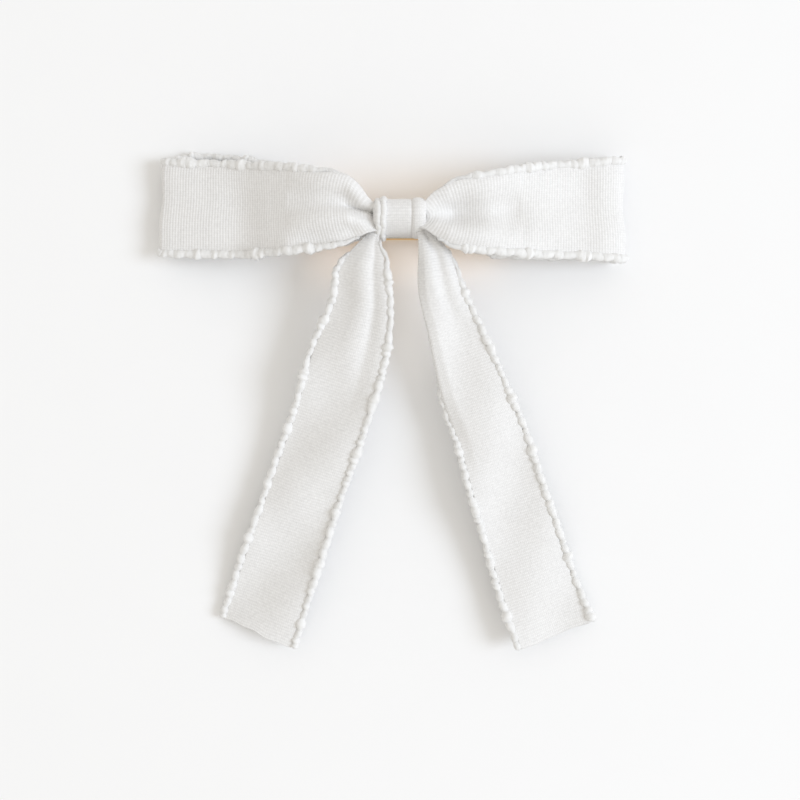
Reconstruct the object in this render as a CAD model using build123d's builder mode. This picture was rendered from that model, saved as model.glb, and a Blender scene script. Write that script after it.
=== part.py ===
"""Ribbon hair bow on a single-prong alligator clip, millimetres.

+X runs to the bow's right, +Y away from the tails, +Z out of the bow's front.
The origin is on the clip's flat underside, straight below the middle of the knot.
"""

import math
import os

from build123d import *

# ribbon: a woven band with a slub yarn along each edge
SHEET = 0.6            # ribbon thickness, with its loft
CORD_R = 0.75          # slub yarn along an edge
CORD_GAP = 0.15        # from the woven edge to the yarn's surface

# clip
STEEL = 0.8            # strip that both arms are stamped from
ARM_Z = 6.4            # underside of the top arm
ARM_W = 8.0            # width of the top arm
PRONG_W = 6.2          # width of the bottom arm
LEVER_X = -24.0        # finger end of both arms
TIP_X = 27.0           # gripping end of the top arm
PIN_X, PIN_Z = -13.0, 3.6
PIN_R, PIN_FIT = 0.9, 0.05
EAR_X = 2.2            # half length of the hinge ears
EAR_H = 1.4            # ears reach this far past the pin's centre
SPRING_R, WIRE_R = 1.6, 0.3
SPRING_TURNS, SPRING_PITCH = 3.5, 0.68
LINING = 0.3           # ribbon glued over the top arm
LINING_W = 7.4
GLUE_Z = ARM_Z + STEEL + LINING

# knot
THREAD_R = 0.15
GLUE_T = 0.3
CORE_Z0, CORE_Z1 = GLUE_Z + GLUE_T + 2 * THREAD_R, 17.2
CORE_Y = 4.0           # half height of the gathered ribbon
CORE_FILLET = 1.2
NECK_X = 6.5           # the loops open out from here
WRAP_X, WRAP_Y = 6.4, 5.0
WRAP_T = 0.6           # wall of the wrap
WRAP_Z0, WRAP_Z1 = ARM_Z - LINING - WRAP_T, CORE_Z1 + 2 * THREAD_R + WRAP_T

# loops: the end folds lie near the floor, and the back layer stands higher than the front
LEFT_END, RIGHT_END = -58.2, 55.7
FOLD_Z = 4.6
FRONT_END_Z, BACK_END_Z = 8.2, 1.0
LEFT_SHIFT, RIGHT_SHIFT = 4.3, 2.0

# tails: the side view falls from the knot to the tips
TAIL_Y = -7.6
TAIL_TOP_Z = 14.0
TIP_Z = 3.6
CORD_START = 3.6       # the tails' yarns start this far down their edges

os.makedirs("parts", exist_ok=True)


def save(piece, label):
    """Label a finished sub-part and write its STEP."""
    piece.part.label = label
    export_step(piece.part, f"parts/{label}.step")


def tangent_radii(route):
    """Bend radius at each inner point: as large as the two runs beside it allow."""
    radii = []
    for before, here, after in zip(route, route[1:], route[2:]):
        run_in, run_out = Vector(here) - Vector(before), Vector(after) - Vector(here)
        half_turn = math.radians(run_in.get_angle(run_out)) / 2
        radii.append(0.45 * min(run_in.length, run_out.length) / math.tan(half_turn))
    return radii


def edge_cord(label, route):
    """A slub yarn: a round tube along straight runs joined by tangent arcs."""
    with BuildPart() as cord:
        with BuildLine() as path:
            FilletPolyline(*route, radius=tangent_radii(route))
        with BuildSketch(Plane(origin=path.line @ 0, z_dir=path.line % 0)):
            Circle(CORD_R)
        sweep(path=path.line)
    save(cord, label)
    return cord


# ---------------------------------------------------------------- loops


def offset_line(points, by):
    """A polyline in X and Z moved sideways by a distance, along the normal at each point."""
    moved = []
    for i, (x, z) in enumerate(points):
        before, after = points[max(i - 1, 0)], points[min(i + 1, len(points) - 1)]
        run_x, run_z = after[0] - before[0], after[1] - before[1]
        length = math.hypot(run_x, run_z)
        moved.append((x - by * run_z / length, z + by * run_x / length))
    return moved


def layer(stations, lean):
    """One layer of a loop, from the knot to the middle of the end fold.

    A station is (x, z, low, high): the layer's height, and its edge yarns' places across it.
    """
    middle = [(x, z) for x, z, _, _ in stations]
    with BuildPart() as band:
        with BuildSketch(Plane.XZ.offset(-HALF_SPAN)):
            with BuildLine():
                one_face, other_face = (offset_line(middle, by) for by in (SHEET / 2, -SHEET / 2))
                Polyline(*one_face, *reversed(other_face), close=True)
            make_face()
        extrude(amount=2 * HALF_SPAN)
        with BuildSketch(Plane.XY):
            with BuildLine():
                past = stations[-1][0] + math.copysign(1, stations[0][0])
                lower = [(x, low + OFF - lean * z) for x, z, low, _ in stations]
                upper = [(x, high - OFF - lean * z) for x, z, _, high in stations]
                ends = [(past, lower[-1][1]), (past, upper[-1][1])]
                Polyline(*lower, *ends, *reversed(upper), close=True)
            make_face()
        extrude(amount=HALF_SPAN, dir=(0, lean, 1), mode=Mode.INTERSECT)
    return band.part


def loop(name, front, back, shift):
    """One loop of ribbon and its two edge yarns, from the stations of its two layers."""
    side = math.copysign(1, front[0][0])
    cords = []
    for place, edge, way in (("upper", 3, 1), ("lower", 2, -1)):
        out = [(station[0], station[edge], station[1]) for station in front[1:-1]]
        home = [(station[0], station[edge], station[1]) for station in reversed(back[1:-1])]
        beside_neck = (side * 7.6, way * (CORE_Y + 1.6))
        start, finish = (*beside_neck, CORE_Z1 - 1.0), (*beside_neck, CORE_Z0 + 1.6)
        cords.append(edge_cord(f"{name}_{place}_cord", [start, *out, *home, finish]))
    lean = -shift / (FRONT_END_Z - BACK_END_Z)
    with BuildPart() as piece:
        add(layer(front, lean))
        add(layer(back, lean))
        for cord in cords:
            add(cord.part, mode=Mode.SUBTRACT)
        with BuildSketch(Plane.YZ):
            with Locations((0, (CORE_Z0 + CORE_Z1) / 2)):
                RectangleRounded(2 * CORE_Y, CORE_Z1 - CORE_Z0, CORE_FILLET)
        extrude(amount=side * NECK_X)
    save(piece, name)


OFF = CORD_R + CORD_GAP
HALF_SPAN = 30         # more than the ribbon's reach from the middle, either way
NECK_FRONT = (CORE_Z1 - SHEET / 2, -CORE_Y - OFF, CORE_Y + OFF)
NECK_BACK = (CORE_Z0 + SHEET / 2, -CORE_Y - OFF, CORE_Y + OFF)
loop(
    "left_loop",
    front=[
        (-NECK_X, *NECK_FRONT), (-13, 17.3, -6.4, 9.6), (-21, 16.6, -8.1, 11.2),
        (-30, 12.8, -8.6, 13.0), (-38, 9.7, -8.6, 14.4), (-46, 8.5, -8.4, 15.0),
        (-53.8, FRONT_END_Z, -8.2, 15.2), (-57.2, 7.0, -7.5, 15.9), (LEFT_END, FOLD_Z, -6.05, 17.35),
    ],
    back=[
        (-NECK_X, *NECK_BACK), (-13, 8.5, -5.8, 8.6), (-20, 8.3, -6.0, 12.4),
        (-27, 7.6, -5.6, 15.0), (-35, 4.8, -4.8, 17.0), (-43, 2.0, -4.2, 18.6),
        (-53.8, BACK_END_Z, -3.9, 19.5), (-57.2, 2.2, -4.6, 18.8), (LEFT_END, FOLD_Z, -6.05, 17.35),
    ],
    shift=LEFT_SHIFT,
)
loop(
    "right_loop",
    front=[
        (NECK_X, *NECK_FRONT), (13, 17.3, -6.4, 8.9), (21, 16.8, -8.1, 10.7),
        (30, 13.4, -8.6, 12.6), (38, 10.2, -8.3, 13.8), (45, 8.7, -8.2, 14.6),
        (51.3, FRONT_END_Z, -8.2, 15.0), (54.7, 7.0, -7.9, 15.3), (RIGHT_END, FOLD_Z, -7.2, 16.0),
    ],
    back=[
        (NECK_X, *NECK_BACK), (13, 8.5, -6.2, 8.4), (21, 8.4, -8.0, 11.4),
        (29.5, 7.7, -8.4, 13.0), (37, 4.6, -7.6, 14.6), (44, 1.9, -6.8, 16.0),
        (51.3, BACK_END_Z, -6.2, 17.0), (54.7, 2.2, -6.5, 16.7), (RIGHT_END, FOLD_Z, -7.2, 16.0),
    ],
    shift=RIGHT_SHIFT,
)

# ---------------------------------------------------------------- tails


def fall(y):
    """Height of a tail's middle at y: steep by the knot, almost flat at the tip."""
    run = min(max((TAIL_Y - y) / (TAIL_Y + 104), 0), 1)
    return TIP_Z + (TAIL_TOP_Z - TIP_Z) * (1 - run) ** 1.35


def cord_edge(edge):
    """The part of a tail's edge that carries its yarn: it starts a little outside the knot."""
    (x0, y0), (x1, y1) = edge[:2]
    share = CORD_START / math.hypot(x1 - x0, y1 - y0)
    return [(x0 + share * (x1 - x0), y0 + share * (y1 - y0)), *edge[1:]]


def tail(side, name, outer, inner):
    """A tail's ribbon and its two edge yarns, from plan points down each edge."""
    cords = [
        edge_cord(f"{name}_{place}_cord", [(x, y, fall(y)) for x, y in cord_edge(edge)])
        for place, edge in (("outer", outer), ("inner", inner))
    ]
    with BuildPart() as piece:
        with BuildSketch(Plane.YZ.offset(-70)):
            with BuildLine():
                steps = [TAIL_Y - 0.2, -20, -40, -60, -80, -106]
                above = [(y, fall(y) + SHEET / 2) for y in steps]
                below = [(y, fall(y) - SHEET / 2) for y in reversed(steps)]
                Polyline(*above, *below, close=True)
            make_face()
        extrude(amount=140)
        with BuildSketch(Plane.XY):
            with BuildLine():
                pull = side * OFF
                Polyline(
                    *[(x - pull, y) for x, y in outer],
                    *[(x + pull, y) for x, y in reversed(inner)],
                    close=True,
                )
            make_face()
        extrude(amount=30, mode=Mode.INTERSECT)
        for cord in cords:
            add(cord.part, mode=Mode.SUBTRACT)
    save(piece, f"{name}_ribbon")


tail(
    -1, "left_tail",
    outer=[(-6.4, TAIL_Y), (-12.0, -10.4), (-17.6, -18), (-26.6, -45), (-36.3, -72), (-45, -97)],
    inner=[(-1.4, TAIL_Y), (-1.6, -12), (-0.6, -23), (-4.8, -43.8), (-14.6, -72.2), (-25.4, -104.5)],
)
tail(
    1, "right_tail",
    outer=[(7.6, TAIL_Y), (12.6, -11.6), (19.6, -22.1), (30, -44.8), (42.6, -80.6), (49.4, -97.7)],
    inner=[(3.6, TAIL_Y), (4.4, -13), (7.2, -26.5), (13.4, -53.6), (19.4, -76.7), (28.2, -104.8)],
)

# ---------------------------------------------------------------- knot

def wrap_section(inset):
    """Section of the wrap: soft corners in front, square ones round the clip's arm."""
    with BuildSketch() as section:
        with Locations((0, (WRAP_Z0 + WRAP_Z1) / 2)):
            Rectangle(2 * (WRAP_Y - inset), WRAP_Z1 - WRAP_Z0 - 2 * inset)
        fillet(section.vertices().group_by(Axis.Y)[-1], 2.2 - inset)
        fillet(section.vertices().group_by(Axis.Y)[0], 0.9 - inset)
    return section.sketch


with BuildPart() as center_wrap:
    with BuildSketch(Plane.YZ.offset(-WRAP_X)):
        add(wrap_section(0))
        add(wrap_section(WRAP_T), mode=Mode.SUBTRACT)
    extrude(amount=2 * WRAP_X)
    save(center_wrap, "center_wrap")


def wrap_cord(label, x):
    """Slub yarn of the wrap, from one side of the knot over its front to the other."""
    reach, top = WRAP_Y + CORD_R + 0.05, WRAP_Z1 + CORD_R + 0.05
    route = [(x, -reach, 8), (x, -reach, top), (x, reach, top), (x, reach, 8)]
    with BuildPart() as cord:
        with BuildLine() as path:
            FilletPolyline(*route, radius=2.6)
        with BuildSketch(Plane(origin=path.line @ 0, z_dir=path.line % 0)):
            Circle(CORD_R)
        sweep(path=path.line)
    save(cord, label)


wrap_cord("wrap_outer_cord", -WRAP_X + 0.85)
wrap_cord("wrap_inner_cord", -WRAP_X + 2.45)

with BuildPart() as binding_thread:
    for turn in range(5):
        x = (turn - 2) * 0.5
        with BuildLine() as ring:
            half_y, half_z = CORE_Y + THREAD_R, (CORE_Z1 - CORE_Z0) / 2 + THREAD_R
            middle = (CORE_Z0 + CORE_Z1) / 2
            corners = [(x, a * half_y, middle + b * half_z) for a, b in
                       ((-1, -1), (-1, 1), (1, 1), (1, -1))]
            FilletPolyline(*corners, radius=CORE_FILLET + THREAD_R, close=True)
        with BuildSketch(Plane(origin=ring.line @ 0, z_dir=ring.line % 0)):
            Circle(THREAD_R * 0.95)
        sweep(path=ring.line)
    save(binding_thread, "binding_thread")

with BuildPart() as glue_pad:
    with BuildSketch(Plane.XY.offset(GLUE_Z)):
        RectangleRounded(11, 6, 1.5)
    extrude(amount=GLUE_T)
    save(glue_pad, "glue_pad")

# ---------------------------------------------------------------- clip

with BuildPart() as hinge_pin:
    with BuildSketch(Plane.XZ.offset(-ARM_W / 2)):
        with Locations((PIN_X, PIN_Z)):
            Circle(PIN_R)
    extrude(amount=ARM_W)
    for face in (ARM_W / 2, -ARM_W / 2 - 0.5):
        with BuildSketch(Plane.XZ.offset(face)):
            with Locations((PIN_X, PIN_Z)):
                Circle(PIN_R + 0.5)
        extrude(amount=0.5)
    save(hinge_pin, "hinge_pin")


def ears(gap, z_low, z_high):
    """The two hinge ears of an arm, outside a gap, drilled for the pin."""
    for side in (-1, 1):
        with Locations((PIN_X, side * (gap / 2 + 0.35), (z_low + z_high) / 2)):
            Box(2 * EAR_X, 0.7, z_high - z_low)


def pin_hole():
    """Bore through both ears with a running fit on the pin."""
    with Locations(Plane(origin=(PIN_X, 0, PIN_Z), z_dir=(0, 1, 0))):
        Cylinder(PIN_R + PIN_FIT, 2 * ARM_W, mode=Mode.SUBTRACT)


with BuildPart() as clip_top_arm:
    with BuildSketch(Plane.XY.offset(ARM_Z)):
        with Locations(((LEVER_X + TIP_X) / 2, 0)):
            RectangleRounded(TIP_X - LEVER_X, ARM_W, 2.4)
    extrude(amount=STEEL)
    ears(ARM_W - 1.4, PIN_Z - EAR_H, ARM_Z + 0.1)
    pin_hole()
    save(clip_top_arm, "clip_top_arm")

with BuildPart() as clip_bottom_arm:
    rise = [(LEVER_X, 0), (6, 0), (21, 4.3), (TIP_X - 0.5, 4.5)]
    with BuildSketch(Plane.XZ.offset(-PRONG_W / 2)):
        with BuildLine():
            upper = [(x, z + STEEL) for x, z in reversed(rise)]
            Polyline(*rise, *upper, close=True)
        make_face()
    extrude(amount=PRONG_W)
    with BuildSketch(Plane.XY):
        with Locations(((LEVER_X + TIP_X - 0.5) / 2, 0)):
            RectangleRounded(TIP_X - 0.5 - LEVER_X, PRONG_W, 2.0)
    extrude(amount=8, mode=Mode.INTERSECT)
    ears(PRONG_W - 1.4, STEEL - 0.1, PIN_Z + EAR_H)
    pin_hole()
    with BuildSketch(Plane.XZ.offset(-1.8)):
        for tooth in range(3):
            with BuildLine():
                x = 21.4 + 1.5 * tooth
                Polyline((x, 5.0), (x + 0.75, 6.0), (x + 1.5, 5.0), close=True)
            make_face()
    extrude(amount=3.6)
    save(clip_bottom_arm, "clip_bottom_arm")

with BuildPart() as clip_lining:
    end = TIP_X + LINING
    top, under = GLUE_Z, ARM_Z - LINING
    with BuildSketch(Plane.XZ.offset(-LINING_W / 2)):
        with BuildLine():
            Polyline(
                (LEVER_X + 1, top), (end, top), (end, under), (-8, under), (-8, ARM_Z),
                (TIP_X, ARM_Z), (TIP_X, ARM_Z + STEEL), (LEVER_X + 1, ARM_Z + STEEL), close=True,
            )
        make_face()
    extrude(amount=LINING_W)
    save(clip_lining, "clip_lining")

with BuildPart() as torsion_spring:
    length = SPRING_TURNS * SPRING_PITCH
    start = (PIN_X, -length / 2, PIN_Z)
    with BuildLine() as coil:
        Helix(SPRING_PITCH, length, SPRING_R, center=start, direction=(0, 1, 0))
    with BuildSketch(Plane(origin=coil.line @ 0, z_dir=coil.line % 0)):
        Circle(WIRE_R)
    sweep(path=coil.line, is_frenet=True)
    for y, sign in ((length / 2, 1), (-length / 2, -1)):
        base = Vector(PIN_X, y, PIN_Z + sign * SPRING_R)
        reach = Vector(-7.5, 0, sign * (ARM_Z - PIN_Z - SPRING_R - WIRE_R - 0.25))
        with BuildSketch(Plane(origin=base, z_dir=reach.normalized())):
            Circle(WIRE_R)
        extrude(amount=reach.length)
    save(torsion_spring, "torsion_spring")
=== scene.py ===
"""Ribbon hair bow on its clip: two loops, two tails, a wrapped knot and slub yarn along every edge.

Lengths are in millimetres here and become metres when a mesh is made; the floor, the lights and
the camera are in metres. X runs to the bow's right, Y away from the tails and Z out of the bow's
front, with the floor at 0.
"""

import math
import random

import bpy
import numpy as np
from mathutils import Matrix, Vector


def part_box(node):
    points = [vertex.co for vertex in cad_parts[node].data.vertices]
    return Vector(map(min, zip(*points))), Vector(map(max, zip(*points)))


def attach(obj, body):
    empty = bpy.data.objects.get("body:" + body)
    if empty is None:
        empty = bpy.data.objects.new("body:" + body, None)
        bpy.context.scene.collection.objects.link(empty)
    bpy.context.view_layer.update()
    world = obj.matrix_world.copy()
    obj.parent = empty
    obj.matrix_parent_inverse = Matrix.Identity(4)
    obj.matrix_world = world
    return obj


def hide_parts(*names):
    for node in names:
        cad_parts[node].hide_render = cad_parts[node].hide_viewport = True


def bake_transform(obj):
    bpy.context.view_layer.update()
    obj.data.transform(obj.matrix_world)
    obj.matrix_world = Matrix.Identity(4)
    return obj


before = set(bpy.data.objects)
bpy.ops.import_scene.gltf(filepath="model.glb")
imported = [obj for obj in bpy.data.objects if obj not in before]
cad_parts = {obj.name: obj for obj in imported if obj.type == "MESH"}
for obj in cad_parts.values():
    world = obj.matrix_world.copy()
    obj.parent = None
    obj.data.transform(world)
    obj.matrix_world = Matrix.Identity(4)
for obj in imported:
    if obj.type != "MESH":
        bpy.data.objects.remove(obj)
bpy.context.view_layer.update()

MM = 0.001

# ribbon
STEEPEST = 1.15        # greatest slope of a pleat's side, in radians
WIDTH = 18.8           # woven band, without its edge yarns
THICK = 0.28
RIB = 0.7              # pitch of the cross ribs
RIB_H = 0.038          # half height of a rib
WARP = 0.5             # pitch of the warp threads that cross the ribs
COLUMNS = 49           # points across it
RIB_STEPS = 5

# slub yarn along the edges
YARN_R = 1.08          # at the fullest part of a bead
LOOP_YARN_R = 1.22     # fuller and softer on the loops
WRAP_YARN_R = 0.9      # pulled tight round the wrap
BEAD = 2.2             # between the threads that pinch it
WAIST = 0.62           # radius at a pinch, as a share of the bead's
SOFT_WAIST = 0.76      # the same where the yarn is soft, on the loops and the wrap
TWIST = 0.92           # how much its own twist narrows it
DRAWN = 0.42           # radius where the knot draws it thin, as a share of its own
TIE_R = 0.09           # the binding thread that pinches it
TIE_SLANT = 0.3        # how far that thread leans along the yarn, each way
SLUB_EVERY = 14.7      # between slubs
CORD_OUT = 0.60        # from the woven edge to the yarn's middle
YARN_ROOM = 1.25       # from a silhouette to the woven edge inside it
CORD_SIDES = 14
CORD_STEP = 0.2

# wrap, and the thread under it
WRAP_LEFT, WRAP_RIGHT = -5.6, 6.1
WRAP_THICK = 0.3
FLAP_EDGE = 3.1        # groove beside the rolled edge
THREAD_R = 0.17
THREAD_TURNS = 5
THREAD_PITCH = 0.5
THREAD_DEPTH = 0.8     # below the wrap's middle surface

# clip
PLATE = 0.8            # thickness of its strips
LINING_THICK = 0.14
LINING_COLUMNS = 21
SPRING_R, WIRE_R = 1.6, 0.3
SPRING_TURNS = 3.5
SPRING_HALF = 1.19     # half length of the coil
WIRE_SIDES = 12


# ---------------------------------------------------------------- curves and frames


def curve(keys, values):
    """A smooth curve through given values: cubic, with the slopes of its neighbours."""
    keys = np.asarray(keys, float)
    values = np.asarray(values, float).reshape(len(keys), -1)
    slopes = np.gradient(values, keys, axis=0)

    def at(t):
        t = np.clip(np.asarray(t, float), keys[0], keys[-1])
        i = np.clip(np.searchsorted(keys, t, side="right") - 1, 0, len(keys) - 2)
        gap = (keys[i + 1] - keys[i])[..., None]
        s = (t - keys[i])[..., None] / gap
        out = (
            (2 * s**3 - 3 * s**2 + 1) * values[i]
            + (s**3 - 2 * s**2 + s) * gap * slopes[i]
            + (3 * s**2 - 2 * s**3) * values[i + 1]
            + (s**3 - s**2) * gap * slopes[i + 1]
        )
        return out[..., 0] if values.shape[1] == 1 else out

    return at


def through(points):
    """A smooth line through points, as a function of distance along their chords."""
    points = np.asarray(points, float)
    chords = np.linalg.norm(np.diff(points, axis=0), axis=1)
    keys = np.concatenate([[0], np.cumsum(chords)])
    return curve(keys, points), keys


def lengths(line):
    """Distance along a polyline at each of its points."""
    return np.concatenate([[0], np.cumsum(np.linalg.norm(np.diff(line, axis=0), axis=1))])


def even(line, step):
    """The same polyline with points a step apart."""
    along = lengths(line)
    places = np.linspace(0, along[-1], max(2, round(along[-1] / step) + 1))
    return np.stack([np.interp(places, along, line[:, k]) for k in range(3)], axis=1)


def smooth(t, a, b):
    """0 before a, 1 after b, with a smooth step between."""
    s = np.clip((t - a) / (b - a), 0, 1)
    return s * s * (3 - 2 * s)


def unit(v):
    """The same directions with length 1."""
    return v / np.maximum(np.linalg.norm(v, axis=-1, keepdims=True), 1e-9)


def bump_at(x, y, at, spread, height):
    """A soft rise or dent of the cloth round a place."""
    return height * np.exp(-(((x - at[0]) / spread[0]) ** 2) - ((y - at[1]) / spread[1]) ** 2)


# ---------------------------------------------------------------- meshes


def make_mesh(name, points, faces, material, uv=None):
    """A mesh object from points in millimetres and faces; uv has one pair for each point."""
    mesh = bpy.data.meshes.new(name)
    faces = faces.tolist() if isinstance(faces, np.ndarray) else faces
    mesh.from_pydata((np.asarray(points) * MM).tolist(), [], faces)
    if uv is not None:
        layer = mesh.uv_layers.new(name="weave")
        corners = np.empty(len(mesh.loops), np.int32)
        mesh.loops.foreach_get("vertex_index", corners)
        layer.data.foreach_set("uv", np.asarray(uv, np.float32)[corners].ravel())
    mesh.polygons.foreach_set("use_smooth", [True] * len(mesh.polygons))
    mesh.materials.append(material)
    mesh.update()
    piece = bpy.data.objects.new(name, mesh)
    bpy.context.collection.objects.link(piece)
    return piece


def grid_faces(rows, columns, first=0, close=False):
    """Quads between neighbouring rows of points; close joins the last column to the first."""
    across = columns if close else columns - 1
    i, j = np.meshgrid(np.arange(rows - 1), np.arange(across), indexing="ij")
    a = first + i * columns + j
    b = first + i * columns + (j + 1) % columns
    return np.stack([a, b, b + columns, a + columns], axis=-1).reshape(-1, 4)


def normals_of(grid):
    """The direction out of a grid of points at each of them."""
    along = np.gradient(grid, axis=0)
    across = np.gradient(grid, axis=1)
    return unit(np.cross(along, across))


def ribbed_sheet(name, grid, along, across, material, flip=False, thick=THICK):
    """Cloth with real cross ribs: both faces of a grid of points, closed round its rim."""
    rows, columns = grid.shape[:2]
    normal = normals_of(grid) * (-1 if flip else 1)
    rib = RIB_H * (2 * np.abs(np.sin(math.pi * along / RIB)) ** 0.8 - 1)
    rib = (rib[:, None] * smooth(np.minimum(across, across[-1] - across), 0.0, 0.8)[None])[..., None]
    front = grid + normal * (thick / 2 + rib)
    back = grid - normal * (thick / 2 + rib)
    points = np.concatenate([front.reshape(-1, 3), back.reshape(-1, 3)])
    half = rows * columns
    top = grid_faces(rows, columns)
    under = grid_faces(rows, columns, half)[:, ::-1]
    edge = np.concatenate([
        np.arange(columns),
        np.arange(1, rows) * columns + columns - 1,
        (rows - 1) * columns + np.arange(columns - 2, -1, -1),
        np.arange(rows - 2, 0, -1) * columns,
    ])
    nxt = np.roll(edge, -1)
    rim = np.stack([nxt, edge, edge + half, nxt + half], axis=1)
    faces = np.concatenate([top, under, rim])
    if flip:
        faces = faces[:, ::-1]
    u, v = np.meshgrid(along, across, indexing="ij")
    uv = np.stack([u, v], axis=-1).reshape(-1, 2)
    return make_mesh(name, points, faces, material, np.concatenate([uv, uv]))


def round_tube(line, side, up, radius, sides):
    """Points and faces of a closed tube along a line; radius is a number, or one for each point."""
    angle = np.arange(sides) / sides * 2 * math.pi
    ring = side[:, None] * np.cos(angle)[None, :, None] + up[:, None] * np.sin(angle)[None, :, None]
    points = (line[:, None] + ring * radius).reshape(-1, 3)
    last = len(points) - sides
    caps = [list(range(sides)), [last + k for k in reversed(range(sides))]]
    return points, grid_faces(len(line), sides, close=True).tolist() + caps


def wire(name, line, radius, material):
    """A plain round wire along a line."""
    line = np.asarray(line, float)
    tangent = unit(np.gradient(line, axis=0))
    side = unit(np.cross(tangent, [0.05, 1.0, 0.02]))
    up = np.cross(side, tangent)
    points, faces = round_tube(line, side, up, radius, WIRE_SIDES)
    return make_mesh(name, points, faces, material)


def bead_sizes(along, girth, slubs, rng):
    """Where the yarn is pinched, and its full radius all along it, with a thicker slub now and then."""
    pinches = [rng.uniform(-BEAD, 0)]
    while pinches[-1] < along[-1] + BEAD:
        pinches.append(pinches[-1] + BEAD * rng.uniform(0.65, 1.45))
    middles = (np.array(pinches[1:]) + np.array(pinches[:-1])) / 2
    size = girth * np.interp(along, middles, [rng.uniform(0.82, 1.08) for _ in middles])
    place = rng.uniform(2, SLUB_EVERY - 2)
    while slubs and place < along[-1]:
        more = girth * rng.uniform(0.28, 0.5)
        size += more * np.exp(-(((along - place) / rng.uniform(1.1, 1.6)) ** 2))
        place += SLUB_EVERY * rng.uniform(0.93, 1.07)
    return pinches, size


def yarn(name, line, seed, out=None, girth=YARN_R, waist=WAIST, slubs=True, thin=(0, 0)):
    """Soft slub yarn along a line: uneven beads between thin binding threads, with thicker slubs.

    out is the direction away from the ribbon, where that isn't level. thin is how far the knot
    draws the yarn thin, from the line's start and from its end.
    """
    rng = random.Random(seed)
    line = even(np.asarray(line), CORD_STEP)
    along = lengths(line)
    pinches, size = bead_sizes(along, girth, slubs, rng)
    turn = math.pi * np.interp(along, pinches, np.arange(len(pinches)))
    for reach, drawn in ((along, thin[0]), (along[-1] - along, thin[1])):
        if drawn:
            size *= DRAWN + (1 - DRAWN) * smooth(reach, 0, drawn)
    tangent = unit(np.gradient(line, axis=0))
    side = np.cross(tangent, [0, 0, 1.0]) if out is None else np.broadcast_to(out, line.shape)
    side = unit(side - tangent * (side * tangent).sum(1, keepdims=True))
    up = np.cross(side, tangent)
    sway = [rng.uniform(0, 6) for _ in range(2)]
    wander = 0.1 * np.cos(turn) + 0.08 * np.sin(along / 4.3 + sway[0])
    line = line + side * wander[:, None] + up * (0.08 * np.sin(along / 2.7 + sway[1]))[:, None]
    angle = np.arange(CORD_SIDES) / CORD_SIDES * 2 * math.pi
    swell = waist + (1 - waist) * np.abs(np.sin(turn)) ** 0.7
    around, way = angle[None], along[:, None]
    lobes = (
        1 + 0.06 * np.cos(2 * around - turn[:, None]) + 0.03 * np.cos(3 * around + 3.1 * way + sway[0])
        + 0.03 * np.cos(2 * around - 5.3 * way + sway[1]) + 0.02 * np.cos(around + 8.3 * way)
    )
    taper = np.sqrt(np.clip(np.minimum(along, along[-1] - along) / 0.6, 0.05, 1))
    radius = TWIST * (size * swell * taper)[:, None] * lobes
    points, faces = round_tube(line, side, up, radius[..., None], CORD_SIDES)
    u, v = np.meshgrid(along, angle * girth, indexing="ij")
    uv = np.stack([u, v], axis=-1).reshape(-1, 2)
    waists = [int(k) for k in np.searchsorted(along, pinches) if 2 < k < len(along) - 3]
    points, faces, uv = add_ties(points, faces, uv, line, side, up, size * waist, waists)
    return make_mesh(name, points, faces, YARN, uv)


def add_ties(points, faces, uv, line, side, up, size, waists):
    """Binding threads: a thin slanting loop round the yarn at each of its waists."""
    sides, tube_sides = 10, 5
    loops = np.arange(sides) / sides * 2 * math.pi
    tube = np.arange(tube_sides) / tube_sides * 2 * math.pi
    i, j = np.meshgrid(np.arange(sides), np.arange(tube_sides), indexing="ij")
    ahead_i, ahead_j = (i + 1) % sides, (j + 1) % tube_sides
    corners = ((i, j), (i, ahead_j), (ahead_i, ahead_j), (ahead_i, j))
    quads = np.stack([a * tube_sides + b for a, b in corners], axis=-1).reshape(-1, 4)
    rings, count = [points], len(points)
    for k in waists:
        ahead = unit(line[k + 1] - line[k - 1])
        around = side[k] * np.cos(loops)[:, None] + up[k] * np.sin(loops)[:, None]
        centre = line[k] + around * size[k] + ahead * (TIE_SLANT * np.cos(loops))[:, None]
        ring = centre[:, None] + TIE_R * (
            around[:, None] * np.cos(tube)[None, :, None] + ahead * np.sin(tube)[None, :, None])
        rings.append(ring.reshape(-1, 3))
        faces += (quads + count).tolist()
        count += len(quads)
    points = np.concatenate(rings)
    return points, faces, np.concatenate([uv, np.zeros((len(points) - len(uv), 2))])


# ---------------------------------------------------------------- materials


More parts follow.
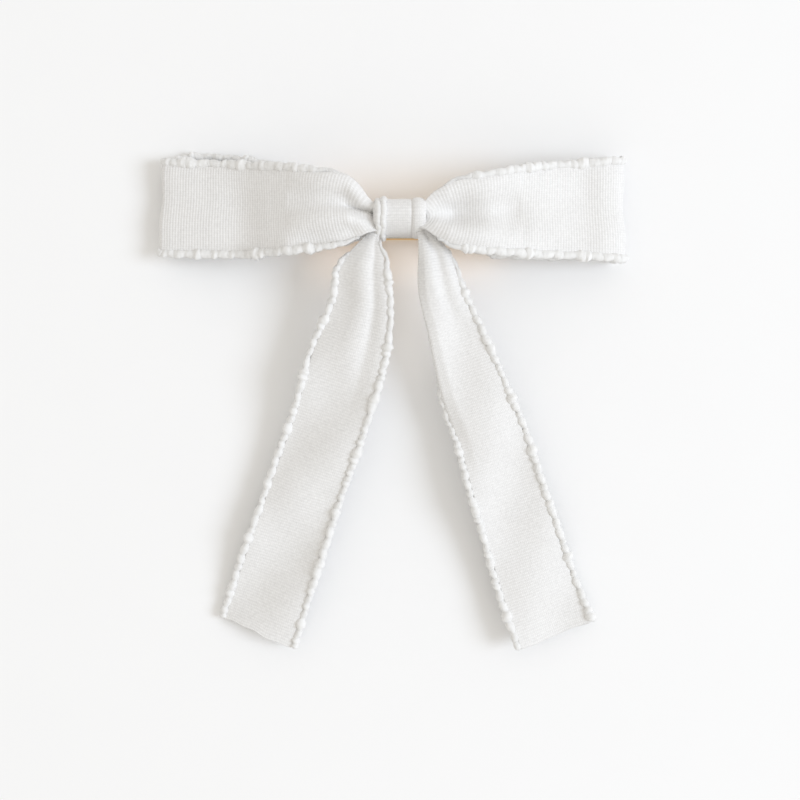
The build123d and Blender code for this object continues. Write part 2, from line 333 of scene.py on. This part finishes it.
class Nodes:
    """A material's node tree, with short calls for the nodes that these materials use."""

    def __init__(self, name):
        self.material = bpy.data.materials.new(name)
        self.material.use_nodes = True
        self.tree = self.material.node_tree
        self.shader = self.tree.nodes["Principled BSDF"]

    def node(self, kind, **values):
        """A new node with its own settings."""
        made = self.tree.nodes.new(kind)
        for key, value in values.items():
            setattr(made, key, value)
        return made

    def link(self, a, b):
        """Output a into input b."""
        self.tree.links.new(a, b)

    def math(self, operation, a, b=0.0, clamp=False):
        """Arithmetic on two values, each an output or a number."""
        made = self.node("ShaderNodeMath", operation=operation, use_clamp=clamp)
        for socket, value in zip(made.inputs, (a, b)):
            if isinstance(value, (int, float)):
                socket.default_value = value
            else:
                self.link(value, socket)
        return made.outputs[0]

    def wave(self, value, pitch):
        """A sine of a length in millimetres, from 0 to 1."""
        sine = self.math("SINE", self.math("MULTIPLY", value, 2 * math.pi / pitch))
        return self.math("ADD", self.math("MULTIPLY", sine, 0.5), 0.5)

    def noise(self, scale, detail=3.0, stretch=None):
        """Noise in object space; scale is in cells per metre."""
        made = self.node("ShaderNodeTexNoise")
        made.inputs["Scale"].default_value = scale
        made.inputs["Detail"].default_value = detail
        place = self.node("ShaderNodeTexCoord").outputs["Object"]
        if stretch:
            shift = self.node("ShaderNodeMapping")
            shift.inputs["Scale"].default_value = stretch
            self.link(place, shift.inputs["Vector"])
            place = shift.outputs["Vector"]
        self.link(place, made.inputs["Vector"])
        return made.outputs["Fac"]

    def mix(self, factor, a, b):
        """From colour a at factor 0 to colour b at factor 1."""
        made = self.node("ShaderNodeMix", data_type="RGBA")
        self.link(factor, made.inputs["Factor"])
        made.inputs["A"].default_value = (*a, 1)
        made.inputs["B"].default_value = (*b, 1)
        return made.outputs["Result"]

    def bump(self, height, distance):
        """Small relief on the shader; a height of 1 stands out by a distance in millimetres."""
        made = self.node("ShaderNodeBump")
        made.inputs["Distance"].default_value = distance * MM
        made.inputs["Strength"].default_value = 1.0
        self.link(height, made.inputs["Height"])
        self.link(made.outputs["Normal"], self.shader.inputs["Normal"])

    def set(self, **values):
        """Constants on the shader's inputs, named with underscores for spaces."""
        for key, value in values.items():
            self.shader.inputs[key.replace("_", " ")].default_value = value

    def uv(self):
        """Millimetres along and across the piece."""
        split = self.node("ShaderNodeSeparateXYZ")
        self.link(self.node("ShaderNodeUVMap", uv_map="weave").outputs["UV"], split.inputs[0])
        return split.outputs[0], split.outputs[1]


def woven(name, light, shade, roughness=0.47):
    """Cross-ribbed satin weave: fine warp threads over the ribs, with uneven, flecked yarns, and a painted
    highlight: the colour is lighter on the rib crests and where the warp threads cross them.
    """
    m = Nodes(name)
    along, across = m.uv()
    drift = m.math("MULTIPLY", m.noise(1300, 2), 0.3)
    threads = m.wave(m.math("ADD", across, drift), WARP)
    crest = m.wave(m.math("ADD", along, RIB / 4), RIB)
    beads = m.math("MULTIPLY", threads, crest)
    uneven = m.noise(1500, 4)
    patches = m.noise(140, 2)
    height = m.math("ADD", m.math("MULTIPLY", beads, 0.7), m.math("MULTIPLY", uneven, 0.9))
    m.bump(height, 0.045)
    # painted highlight: the base colour is lighter on the rib crests, and most where the warp threads cross
    # them
    painted_crest_highlight = m.math("ADD", m.math("MULTIPLY", crest, 0.1), m.math("MULTIPLY", beads, 0.46))
    flecks = m.math("SUBTRACT", m.math("MULTIPLY", uneven, 1.9), 0.75)
    cloudy = m.math("ADD", m.math("MULTIPLY", patches, 0.5), flecks)
    # the colour mix: the painted highlight on crests and crossings, plus the yarns' own uneven tone
    painted_highlight_and_tone = m.math("ADD", painted_crest_highlight, m.math("MULTIPLY", cloudy, 0.8), clamp=True)
    m.link(m.mix(painted_highlight_and_tone, shade, light), m.shader.inputs["Base Color"])
    rough = m.math("ADD", m.math("MULTIPLY", uneven, 0.16), roughness)
    m.link(rough, m.shader.inputs["Roughness"])
    m.set(Sheen_Weight=0.25, Sheen_Roughness=0.4, Specular_IOR_Level=0.35)
    return m.material


def spun(name, light, shade):
    """Soft spun yarn: fibres that run along it, a little fuzz and uneven dye."""
    m = Nodes(name)
    along, around = m.uv()
    fibres = m.wave(m.math("ADD", m.math("MULTIPLY", along, 0.5), around), 0.22)
    fuzz = m.noise(2600, 3)
    m.bump(m.math("ADD", m.math("MULTIPLY", fibres, 0.5), fuzz), 0.06)
    m.link(m.mix(m.noise(500, 2), shade, light), m.shader.inputs["Base Color"])
    m.link(m.math("ADD", m.math("MULTIPLY", fuzz, 0.2), 0.42), m.shader.inputs["Roughness"])
    m.set(Sheen_Weight=0.3, Sheen_Roughness=0.5, Specular_IOR_Level=0.3)
    return m.material


def plated(name, light, shade, roughness):
    """Stamped and plated metal: rolling marks along the strip and fine handling scratches."""
    m = Nodes(name)
    rolled = m.noise(900, 3, (0.06, 1, 1))
    scuffs = m.noise(350, 5)
    m.bump(m.math("ADD", rolled, m.math("MULTIPLY", scuffs, 0.4)), 0.012)
    m.link(m.mix(scuffs, shade, light), m.shader.inputs["Base Color"])
    worn = m.math("ADD", m.math("MULTIPLY", rolled, 0.16), roughness)
    m.link(m.math("ADD", worn, m.math("MULTIPLY", scuffs, 0.1)), m.shader.inputs["Roughness"])
    m.set(Metallic=1.0)
    return m.material


def cloudy_glue(name):
    """Set hot-melt glue: cloudy, a little yellow and soft-edged."""
    m = Nodes(name)
    cloud = m.noise(700, 4)
    m.link(m.mix(cloud, (0.72, 0.66, 0.5), (0.86, 0.82, 0.7)), m.shader.inputs["Base Color"])
    m.bump(cloud, 0.08)
    m.set(Roughness=0.35, Subsurface_Weight=0.3, Subsurface_Scale=0.001)
    return m.material


# light and shade are the two tones that the painted highlight on rib crests and thread crossings, and the
# yarns' uneven tone, mix between
WOVEN = woven("ribbon_weave", (0.86, 0.853, 0.842), (0.735, 0.727, 0.716))
LINING = woven("lining_weave", (0.83, 0.82, 0.80), (0.68, 0.67, 0.65), roughness=0.57)
YARN = spun("slub_yarn", (0.92, 0.915, 0.905), (0.82, 0.815, 0.80))
THREAD = spun("binding_thread", (0.88, 0.87, 0.85), (0.76, 0.75, 0.73))
GOLD = plated("gold_plate", (0.92, 0.66, 0.34), (0.80, 0.54, 0.26), 0.16)
STEEL = plated("spring_steel", (0.62, 0.60, 0.57), (0.45, 0.44, 0.42), 0.24)
GLUE = cloudy_glue("hot_melt_glue")


# ---------------------------------------------------------------- how ribbon folds across


# how much of its width is left to a ribbon pleated as steeply as each of FOLDS, in radians
FOLDS = np.linspace(0, 2.0, 81)
CHORDS = np.array([np.cos(b * np.sin(np.linspace(0, 2 * math.pi, 200))).mean() for b in FOLDS])


def fold_for(chord):
    """Steepest slope of even pleats that narrow the ribbon to this share of its width."""
    return np.minimum(np.interp(-np.clip(chord, 0.2, 1), -CHORDS, FOLDS), STEEPEST)


def lay(origin, across, up, low, high, turn):
    """Ribbon laid row by row: turn is its slope at each column, and low and high are its edges' places."""
    step = WIDTH / (turn.shape[1] - 1)
    middle = (turn[:, 1:] + turn[:, :-1]) / 2
    zero = np.zeros((len(turn), 1))
    run = np.concatenate([zero, np.cumsum(np.cos(middle) * step, axis=1)], axis=1)
    rise = np.concatenate([zero, np.cumsum(np.sin(middle) * step, axis=1)], axis=1)
    least, most = run.min(1, keepdims=True), run.max(1, keepdims=True)
    squeeze = (high - low)[:, None] / (most - least)
    run = low[:, None] + (run - least) * squeeze
    rise = (rise - rise.mean(1, keepdims=True)) * np.clip(squeeze, 0, 1) ** 1.2
    return origin[:, None] + run[..., None] * across[:, None] + rise[..., None] * up[:, None]


def edges_of(grid, clear):
    """The lines that the edge yarns follow, as far clear of the first and last columns as clear says."""
    low = grid[:, 0] + unit(grid[:, 0] - grid[:, 1]) * CORD_OUT * clear[0]
    high = grid[:, -1] + unit(grid[:, -1] - grid[:, -2]) * CORD_OUT * clear[1]
    return low, high


# places across the ribbon, from edge to edge: as shares of its half width, and in millimetres
V = np.linspace(-1, 1, COLUMNS)
ACROSS = np.linspace(0, WIDTH, COLUMNS)


# ---------------------------------------------------------------- loops


def loop_grid(side, path, front, back, pleats, lag, slant, relief):
    """One loop from inside the knot, out along the front, round the end and back behind.

    path is the middle's (distance from the knot, height); front and back give the lower and
    upper edge against that distance; pleats is (middle, wavelength) of the gathers at the knot.
    lag is how far the gathers pull the cloth's edges back, and slant turns the far end.
    """
    line, keys = through([(d, 0, z) for d, z in path])
    line = even(line(np.linspace(0, keys[-1], 4000)), RIB / RIB_STEPS)
    along = lengths(line)
    reach = line[:, 0]
    turn_at = along[np.argmax(reach)]
    behind = smooth(along, turn_at - 2.0, turn_at + 9.0)
    pull = lag * np.exp(-(((reach - 8) / 13) ** 2)) * (1 - 0.6 * behind)
    edge_reach = np.maximum(reach - pull, 0)
    low = front[0](edge_reach) * (1 - behind) + back[0](edge_reach) * behind
    high = front[1](edge_reach) * (1 - behind) + back[1](edge_reach) * behind
    tangent = unit(np.gradient(line, axis=0))
    up = np.stack([-tangent[:, 2], 0 * along, tangent[:, 0]], axis=1)
    across = np.broadcast_to(np.array([0.0, 1.0, 0.0]), up.shape)
    pressed = 0.32 + 0.56 * smooth(reach, 6, 13)
    gather = (np.hypot(fold_for((high - low) / WIDTH), 0.16) * pressed)[:, None]
    middle, wave = pleats
    turn = gather * np.sin(2 * math.pi * (V[None] - middle) / wave)
    grid = lay(line * [1, 0, 1], across, up, low, high, turn)
    grid[..., 0] -= pull[:, None] * np.abs(V[None]) ** 2.2
    grid[..., 0] -= slant * V[None] * smooth(reach, 30, 55)[:, None]
    grid[..., 0] *= side
    sag = 0.45 * np.clip(1.5 - grid[..., 1], 0, 6) * (1 - smooth(reach, 5, 10))[:, None]
    grid[..., 2] += (relief(grid[..., 0], grid[..., 1]) - sag) * (1 - behind)[:, None]
    grid += ripples(along, side)[..., None] * up[:, None] * [side, 1, 1]
    return grid, along


def ripples(along, seed, amount=0.10):
    """Faint long waves of the cloth, never quite level."""
    a, v = along[:, None], V[None]
    return amount * (
        np.sin(a / 5.3 + 1.7 * v + seed) + 0.7 * np.sin(a / 3.1 - 2.6 * v + 2.1 * seed)
        + 0.5 * np.sin(a / 8.7 + 4.1 * v * v + 0.5 * seed)
    )


def left_relief(x, y):
    """The left loop's broad hollows, and the crease that runs into its knot."""
    crease = np.exp(-(((y - 1.2 + 0.24 * (x + 5.5)) / 0.62) ** 2)) * smooth(x, -14.5, -9.5)
    return (
        bump_at(x, y, (-37.5, 1), (6, 10), -1.0)
        + bump_at(x, y, (-28, 0), (5, 4.5), -0.7)
        + bump_at(x, y, (-20, -5), (5, 4), -1.3)
        + bump_at(x, y, (-15, 8.5), (6, 3), 0.5)
        - 1.7 * crease
    )


def right_relief(x, y):
    """The right loop's hollow beside the knot, and the shallower ones beyond it."""
    return (
        bump_at(x, y, (14.2, 1.6), (6.0, 4.2), -2.1)
        + bump_at(x, y, (26.5, 1), (4.4, 6), -1.4)
        + bump_at(x, y, (37, 2), (6, 8), 0.4)
        + bump_at(x, y, (44, 9), (5, 4), -0.6)
    )


LEFT_LOOP = dict(
    side=-1,
    path=[(2, 15.4), (4.8, 15.9), (6.4, 17.1), (9, 17.4), (13, 17.6), (19, 17.5), (25, 15.7), (31, 12.6),
          (38, 9.2), (46, 7.1), (53.4, 6.0), (56.8, 5.4), (58.1, 4.9), (58.5, 4.2), (58.0, 3.5), (56.2, 2.6),
          (52.6, 1.8), (43, 2.6), (35, 5.0), (27, 7.7), (20, 8.6), (13, 9.2), (6, 10.0), (2, 10.2)],
    front=(
        curve([2, 6, 10, 14.3, 19.2, 25.5, 35.1, 43.6, 51.5, 58.6],
              [-2.6, -3.2, -4.7, -5.7, -6.5, -7.0, -7.2, -7.1, -6.9, -6.4]),
        curve([2, 5.6, 7, 9, 11.2, 14.7, 18.7, 29.4, 41.1, 55.2, 58.6],
              [2.8, 3.2, 4.5, 7.2, 9.3, 10.4, 10.6, 12.2, 13.6, 14.5, 14.9]),
    ),
    back=(
        curve([2, 6, 13, 20, 27, 35, 43, 58.6], [-3.4, -3.8, -4.8, -5.0, -4.4, -3.6, -3.2, -2.6]),
        curve([2, 6, 13, 20, 27, 35, 43, 58.6], [2.7, 3.2, 7.0, 10.4, 12.8, 14.7, 16.0, 16.8]),
    ),
    pleats=(0.22, 1.12),
    lag=2.2,
    slant=0.5,
    relief=left_relief,
)

RIGHT_LOOP = dict(
    side=1,
    path=[(2, 15.4), (5.2, 15.9), (6.8, 17.0), (9, 17.2), (13, 17.3), (19, 17.1), (25, 15.7), (31, 13.2),
          (38, 10.4), (45, 8.5), (51.0, 7.6), (54.4, 5.9), (55.5, 4.2), (54.4, 2.6), (51.0, 1.8),
          (44, 2.4), (37, 4.8), (29, 7.8), (20, 8.6), (13, 9.2), (6, 10.0), (2, 10.2)],
    front=(
        curve([2, 5.9, 8.9, 12.3, 16.7, 20.9, 27.9, 35.1, 49.4, 56],
              [-2.3, -2.6, -4.6, -6.2, -6.9, -7.2, -7.3, -7.4, -7.7, -7.8]),
        curve([2, 5.5, 7.6, 10.6, 14, 17.4, 22.8, 29.2, 38.8, 49.4, 56],
              [2.7, 3.2, 5.4, 7.3, 8.7, 9.2, 10.1, 11.4, 13.1, 14.2, 15.0]),
    ),
    back=(
        curve([2, 6, 13, 20, 29, 37, 44, 56], [-2.8, -3.2, -4.8, -6.4, -7.2, -7.1, -6.9, -6.6]),
        curve([2, 6, 13, 20, 29, 37, 44, 56], [2.7, 3.2, 7.2, 10.0, 11.6, 13.2, 14.6, 16.0]),
    ),
    pleats=(0.08, 1.5),
    lag=2.4,
    slant=0.3,
    relief=right_relief,
)


def make_loop(node, shape, upper, lower, seed):
    """One loop and its yarns.

    upper and lower say how far from the knot that edge's yarn starts, and how far it stays thin.
    """
    grid, along = loop_grid(**shape)
    sheet = ribbed_sheet(f"{node}_ribbon", grid, along, ACROSS, WOVEN, flip=shape["side"] < 0)
    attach(sheet, "bow")
    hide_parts(node)
    reach = np.abs(grid[:, 0, :1])
    low, high = edges_of(grid, [smooth(reach, start, start + 6) for start, _ in (lower, upper)])
    cords = []
    for place, line, out, (start, thin) in (("upper", high, 1, upper), ("lower", low, -1, lower)):
        shown = line[np.abs(line[:, 0]) > start]
        cord = yarn(f"{node}_{place}_yarn", shown, seed + len(cords), out=(0, out, 0),
                    girth=LOOP_YARN_R, waist=SOFT_WAIST, thin=(thin, thin))
        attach(cord, "bow")
        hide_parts(f"{node}_{place}_cord")
        cords.append(cord)


# ---------------------------------------------------------------- tails


def tail_grid(pairs, heights, turn, seed, room):
    """A tail from inside the knot to its cut end, between pairs of points down its two edges.

    room gives, for each edge, the stretch over which the pairs start to hold its yarn too.
    """
    left = np.array([p[0] for p in pairs], float)
    right = np.array([p[1] for p in pairs], float)
    inward = unit(right - left) * YARN_ROOM
    left = left + inward * smooth(-left[:, 1:], *room[0])
    right = right - inward * smooth(-right[:, 1:], *room[1])
    line, keys = through((left + right) / 2)
    left_at, right_at = curve(keys, left), curve(keys, right)
    fine = np.linspace(0, keys[-1], 4000)
    middle = np.column_stack([line(fine), heights(line(fine)[:, 1])])
    along = lengths(middle)
    places = np.linspace(0, along[-1], round(along[-1] / RIB * RIB_STEPS) + 1)
    t = np.interp(places, along, fine)
    a, b = left_at(t), right_at(t)
    origin = np.column_stack([a, heights(line(t)[:, 1])])
    across = np.column_stack([b - a, 0 * t])
    chord = np.linalg.norm(across, axis=1)
    across = unit(across)
    ahead = unit(np.gradient(np.column_stack([line(t), heights(line(t)[:, 1])]), axis=0))
    up = unit(np.cross(across, -ahead))
    up *= np.sign(up[:, 2:3])
    grid = lay(origin, across, up, 0 * chord, chord, turn(places))
    grid += ripples(places, seed, 0.12)[..., None] * up[:, None]
    return grid, places


def slopes_across(places, slopes):
    """Slope across the ribbon through given values, the same all along it."""
    return curve(places, slopes)(V)[None]


def left_turn(along):
    """Left tail: its outer side faces left up to a ridge, with one short pleat inside that."""
    a = along[:, None]
    near = 1 - smooth(a, 18, 54)
    ridge = slopes_across([-1, -0.6, -0.2, 0.0, 0.2, 0.38, 0.52, 0.7, 0.85, 1],
                          [0.2, 0.27, 0.3, 0.05, -0.35, -0.6, 0.15, 0.2, -0.15, -0.45])
    faint = 0.2 * np.sin(2.4 * V[None] + a / 7.0) * (1 - near)
    return near * ridge + faint + 0.12


def right_turn(along):
    """The right tail's left margin is turned under, less and less towards its cut end."""
    a = along[:, None]
    near = 1 - smooth(a, 12, 34)
    ridge = slopes_across([-1, -0.2, 0.05, 0.25, 0.45, 0.62, 0.8, 1],
                          [0, 0, -0.7, -0.3, 0.5, 0.1, -0.5, -0.5])
    crease = 0.42 * (1 - smooth(a, 46, 76))
    under = 2.3 * (1 - smooth(a, 40, 66))
    first = smooth(-V[None], 0.26 + 0.006 * a, 0.36 + 0.006 * a)
    second = smooth(-V[None], 0.56 + 0.006 * a, 0.80 + 0.006 * a)
    main = -0.12 + 0.14 * np.sin(2.3 * V[None] + a / 6.0)
    return near * ridge + main + crease * first + under * second


LEFT_TAIL = dict(
    pairs=[((-4.2, 1.0), (-3.0, 0.6)), ((-5.4, -1.8), (-4.4, -2.9)), ((-9.0, -5.2), (-4.4, -6.2)),
           ((-11.4, -7.6), (-3.5, -8.8)), ((-13.6, -10.1), (-2.5, -12.2)),
           ((-16.5, -18.2), (-1.2, -21.4)),
           ((-21.9, -30.9), (-3.2, -36.6)), ((-26.0, -44.8), (-7.6, -50.6)),
           ((-31.0, -58.5), (-12.4, -64.4)), ((-35.7, -71.9), (-17.0, -78.2)),
           ((-41.1, -86.9), (-21.7, -93.2)), ((-44.5, -96.9), (-25.3, -104.4))],
    heights=curve([-105, -97, -80, -65, -50, -35, -20, -10, -5, 2],
                  [3.6, 3.9, 5.1, 6.6, 8.4, 10.4, 12.8, 14.5, 15.0, 13.4]),
    turn=left_turn,
    seed=1.3,
    room=((9, 16), (8, 16)),
)

RIGHT_TAIL = dict(
    pairs=[((2.0, 1.0), (4.8, 1.5)), ((4.6, -3.6), (7.8, -3.2)), ((4.9, -8.0), (11.4, -6.8)),
           ((4.7, -13.0), (14.0, -11.8)), ((5.1, -18.6), (16.9, -17.8)),
           ((7.0, -26.5), (19.2, -22.6)), ((9.0, -36.1), (23.2, -31.4)),
           ((11.6, -46.7), (27.8, -41.4)), ((13.8, -53.6), (30.8, -48.2)),
           ((16.5, -64.9), (34.6, -59.2)), ((20.0, -76.7), (38.6, -70.8)),
           ((24.8, -93.1), (44.2, -86.5)), ((28.8, -104.8), (48.8, -97.9))],
    heights=curve([-105, -97, -80, -65, -50, -35, -20, -10, -5, 2],
                  [3.6, 3.9, 5.0, 6.4, 8.2, 10.1, 12.4, 14.2, 14.7, 13.2]),
    turn=right_turn,
    seed=4.1,
    room=((40, 62), (9, 16)),
)


def make_tail(name, shape, outer, inner, seed, swing):
    """One tail and its yarns, from inside the knot to its cut end.

    outer and inner say which column of the ribbon that yarn runs beside, and from which Y down.
    """
    grid, along = tail_grid(**shape)
    cut_end(grid, along, seed, swing)
    sheet = ribbed_sheet(f"{name}_sheet", grid, along, ACROSS, WOVEN)
    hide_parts(f"{name}_ribbon")
    clear = {side: smooth(-grid[:, side, 1:2], -start, 5 - start) for side, start in (outer, inner)}
    lines = dict(zip((0, -1), edges_of(grid, (clear[0], clear[-1]))))
    pieces = [sheet]
    for k, (place, (side, start)) in enumerate((("outer", outer), ("inner", inner))):
        shown = lines[side][lines[side][:, 1] < start]
        cord = yarn(f"{name}_{place}_yarn", shown, seed + k, thin=(9, 0))
        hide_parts(f"{name}_{place}_cord")
        pieces.append(cord)
    for piece in pieces:
        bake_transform(piece)


def cut_end(grid, along, seed, swing):
    """The scissored end isn't quite straight: it swings a little from side to side."""
    last = smooth(along, along[-1] - 4, along[-1])[:, None]
    ahead = unit(np.gradient(grid, axis=0))
    wave = swing * (np.sin(3.1 * V + seed) + 0.5 * np.sin(9.0 * V + 2 * seed))
    grid += ahead * (last * wave[None])[..., None]


# ---------------------------------------------------------------- knot


WRAP_RING = [(0.4, 5.6), (3.6, 5.7), (4.3, 7.2), (4.4, 10.0), (4.4, 13.5), (4.2, 15.8), (3.3, 17.5),
             (2.0, 18.3), (0.9, 18.3), (-0.3, 17.6), (-1.4, 16.3), (-2.2, 14.7), (-2.8, 12.8), (-3.0, 10.0),
             (-3.1, 7.2), (-2.6, 5.7)]


def ring_line():
    """The wrap's section in Y and Z as a closed, even line that starts underneath."""
    closed = WRAP_RING[-2:] + WRAP_RING + WRAP_RING[:3]
    line, keys = through([(0, y, z) for y, z in closed])
    return even(line(np.linspace(keys[2], keys[2 + len(WRAP_RING)], 1500)), RIB / RIB_STEPS)


def ring_frame():
    """The wrap's ring, the distance along it and the directions out of it."""
    line = ring_line()
    tangent = unit(np.roll(line, -1, axis=0) - np.roll(line, 1, axis=0))
    return line, lengths(line), np.cross(tangent, [1.0, 0, 0])


def make_wrap():
    """The band round the knot, its right edge rolled, with two yarns side by side on its left."""
    line, along, out = ring_frame()
    section = [(WRAP_LEFT, -1.1), (WRAP_LEFT, -0.3), (-5.2, 0.1), (-2, 0.1), (2, 0.12),
               (FLAP_EDGE - 0.4, 0.1), (FLAP_EDGE, -0.12), (FLAP_EDGE + 0.3, 0.25), (4.3, 0.5),
               (5.3, 0.4), (WRAP_RIGHT, -0.1), (WRAP_RIGHT, -1.3)]
    band, keys = through([(x, 0, r) for x, r in section])
    band = even(band(np.linspace(0, keys[-1], 600)), 0.3)
    across = lengths(band)
    pinch = 1 - 0.03 * np.cos(2 * math.pi * along / along[-1])[:, None]
    grid = line[:, None] + out[:, None] * band[None, :, 2:3]
    grid[..., 0] = band[None, :, 0] * pinch
    sheet = ribbed_sheet("center_wrap_sheet", grid, along, across, WOVEN, flip=True, thick=WRAP_THICK)
    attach(sheet, "bow")
    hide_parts("center_wrap")
    low_front = bump_at(line[:, 1], line[:, 2], (-4.2, 14.5), (1.6, 3.5), 1)
    snug = 0.55 * smooth(line[:, 1], 2.0, 4.2)
    bare = 6  # points at each end, underneath the clip, that the yarns leave bare
    for node, x, lift, droop in (
        ("wrap_outer_cord", -4.85, 0.5, 0.5),
        ("wrap_inner_cord", -3.7, 0.65, 1.1),
    ):
        path = line + out * (lift + droop * low_front - snug)[:, None]
        path[:, 0] = x + 0.14 * np.sin(along / 3.0 + x)
        cord = yarn(node + "_yarn", path[bare:-bare], round(10 * -x), out=(1, 0, 0), girth=WRAP_YARN_R,
                    waist=SOFT_WAIST, slubs=False)
        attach(cord, "bow")
        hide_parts(node)


def dress_knot():
    """Hidden under the wrap: turns of thread round the gathers, and the glue below them."""
    line, along, out = ring_frame()
    turns = [along / along[-1] + k - THREAD_TURNS / 2 for k in range(THREAD_TURNS)]
    coil = [line - THREAD_DEPTH * out + np.outer(turn, [THREAD_PITCH, 0, 0]) for turn in turns]
    thread = wire("binding_thread_turns", np.concatenate(coil), THREAD_R, THREAD)
    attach(thread, "bow")
    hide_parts("binding_thread")
    dress("glue_pad", GLUE)


def dress(node, material):
    """A better material on a piece that keeps its shape."""
    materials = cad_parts[node].data.materials
    materials.clear()
    materials.append(material)


# ---------------------------------------------------------------- clip


def box_mm(node):
    """A piece's lower and upper corners."""
    low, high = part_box(node)
    return np.array(low) / MM, np.array(high) / MM


def make_lining():
    """Grosgrain glued over the clip's top arm and folded round its tip."""
    low, high = box_mm("clip_lining")
    middle = LINING_THICK
    top, under, tip = high[2] - middle, low[2] + middle, high[0] - middle
    route = [(low[0], 0, top), (0, 0, top), (tip - 0.7, 0, top), (tip, 0, (top + under) / 2),
             (tip - 0.7, 0, under), (10, 0, under), (-8, 0, under)]
    line, keys = through(route)
    line = even(line(np.linspace(0, keys[-1], 2000)), RIB / RIB_STEPS)
    along = lengths(line)
    across = np.linspace(0, high[1] - low[1], LINING_COLUMNS)
    grid = np.repeat(line[:, None], LINING_COLUMNS, axis=1)
    grid[..., 1] = low[1] + across[None]
    sheet = ribbed_sheet("clip_lining_ribbon", grid, along, across, LINING, thick=LINING_THICK)
    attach(sheet, "bow")
    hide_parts("clip_lining")


def make_spring():
    """Torsion spring on the pin: the coil and upper leg stay with the bow, the lower leg turns."""
    leg_x = box_mm("torsion_spring")[0][0]
    pin_low, pin_high = box_mm("hinge_pin")
    x, z = (pin_low[0] + pin_high[0]) / 2, (pin_low[2] + pin_high[2]) / 2
    turns = np.linspace(0, SPRING_TURNS * 2 * math.pi, 170)
    coil = np.stack([x + SPRING_R * np.sin(turns), SPRING_HALF * (2 * turns / turns[-1] - 1),
                     z - SPRING_R * np.cos(turns)], axis=1)
    arm_z = box_mm("clip_top_arm")[1][2] - PLATE - WIRE_R - 0.1
    floor_z = PLATE + WIRE_R + 0.05
    upper = [(leg_x + (x - leg_x) * k, SPRING_HALF, arm_z * (1 - k) + (z + SPRING_R) * k)
             for k in np.linspace(0.98, 0, 12)]
    lower = [(x - (x - leg_x) * k, -SPRING_HALF, (z - SPRING_R) * (1 - k) + floor_z * k)
             for k in np.linspace(0, 1, 12)]
    main = wire("spring_coil", np.concatenate([coil, upper]), WIRE_R, STEEL)
    leg = wire("spring_lower_leg", lower, WIRE_R, STEEL)
    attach(main, "bow")
    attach(leg, "jaw")
    for piece in (main, leg):
        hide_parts("torsion_spring")


def dress_clip():
    """The stamped arms and their pin are gilt."""
    for node in ("clip_top_arm", "clip_bottom_arm", "hinge_pin"):
        dress(node, GOLD)


# ---------------------------------------------------------------- floor, light and camera


def make_stage():
    """A pale paper table."""
    bpy.ops.mesh.primitive_plane_add(size=6, location=(0, 0, 0))
    floor = bpy.context.object
    floor.name = "floor"
    m = Nodes("pale_paper")
    paper = m.mix(m.noise(60, 3), (0.915, 0.915, 0.915), (0.925, 0.925, 0.925))
    m.link(paper, m.shader.inputs["Base Color"])
    m.set(Roughness=0.8, Specular_IOR_Level=0.1)
    floor.data.materials.append(m.material)


def area_light(name, shape, place, size, power, colour):
    """A light of a width and a height, facing down until it is turned."""
    data = bpy.data.lights.new(name, "AREA")
    data.shape, data.energy, data.color = shape, power, colour
    data.size, data.size_y = size
    lamp = bpy.data.objects.new(name, data)
    lamp.location = place
    bpy.context.collection.objects.link(lamp)
    return lamp


def make_lights():
    """A bright room, a little warm, with one wide cooler window on the right.

    Three small lights under the bow stand for what the gilt clip and the pale cloth bounce down.
    """
    world = bpy.data.worlds.new("studio")
    world.use_nodes = True
    background = world.node_tree.nodes["Background"]
    background.inputs["Color"].default_value = (1.0, 0.97, 0.92, 1)
    background.inputs["Strength"].default_value = 0.78
    bpy.context.scene.world = world
    place, aim = Vector((1.95, -0.15, 1.55)), Vector((0, -0.04, 0))
    window = area_light("window", "DISK", place, (1.25, 1.25), 29, (0.9, 0.985, 1.12))
    window.rotation_mode = "QUATERNION"
    window.rotation_quaternion = (aim - place).to_track_quat("-Z", "Y")
    gilt, cloth = (1.0, 0.62, 0.28), (1.0, 0.93, 0.86)
    for name, place, size, power, colour in (
        ("clip_glow_front", (0.001, -0.0088, 0.0054), (0.046, 0.008), 0.00031, gilt),
        ("clip_glow_back", (0.001, 0.0100, 0.0068), (0.046, 0.008), 0.00024, gilt),
        ("tails_bounce", (0.002, -0.0250, 0.0090), (0.009, 0.024), 0.00024, cloth),
    ):
        glow = area_light(name, "RECTANGLE", place, size, power, colour)
        glow.visible_camera = False


def make_camera():
    """Straight above the bow, at a height that gives it the right perspective and shows all of it."""
    height, seen = 0.310, 0.200
    data = bpy.data.cameras.new("overhead")
    data.sensor_width = 36
    data.lens = data.sensor_width * height / seen
    camera = bpy.data.objects.new("overhead", data)
    camera.location = (0.00035, -0.04315, height)
    bpy.context.collection.objects.link(camera)
    bpy.context.scene.camera = camera


bpy.context.scene.view_settings.view_transform = "Standard"
make_stage()
make_lights()
make_camera()
make_loop("left_loop", LEFT_LOOP, upper=(12.5, 14), lower=(9.0, 12), seed=11)
make_loop("right_loop", RIGHT_LOOP, upper=(10.5, 20), lower=(9.0, 12), seed=21)
make_tail("left_tail", LEFT_TAIL, outer=(0, -7.8), inner=(-1, -5.0),
          seed=31, swing=0.3)
make_tail("right_tail", RIGHT_TAIL, outer=(-1, -7.0), inner=(0, -36.0),
          seed=41, swing=0.13)
make_wrap()
dress_knot()
make_lining()
make_spring()
dress_clip()
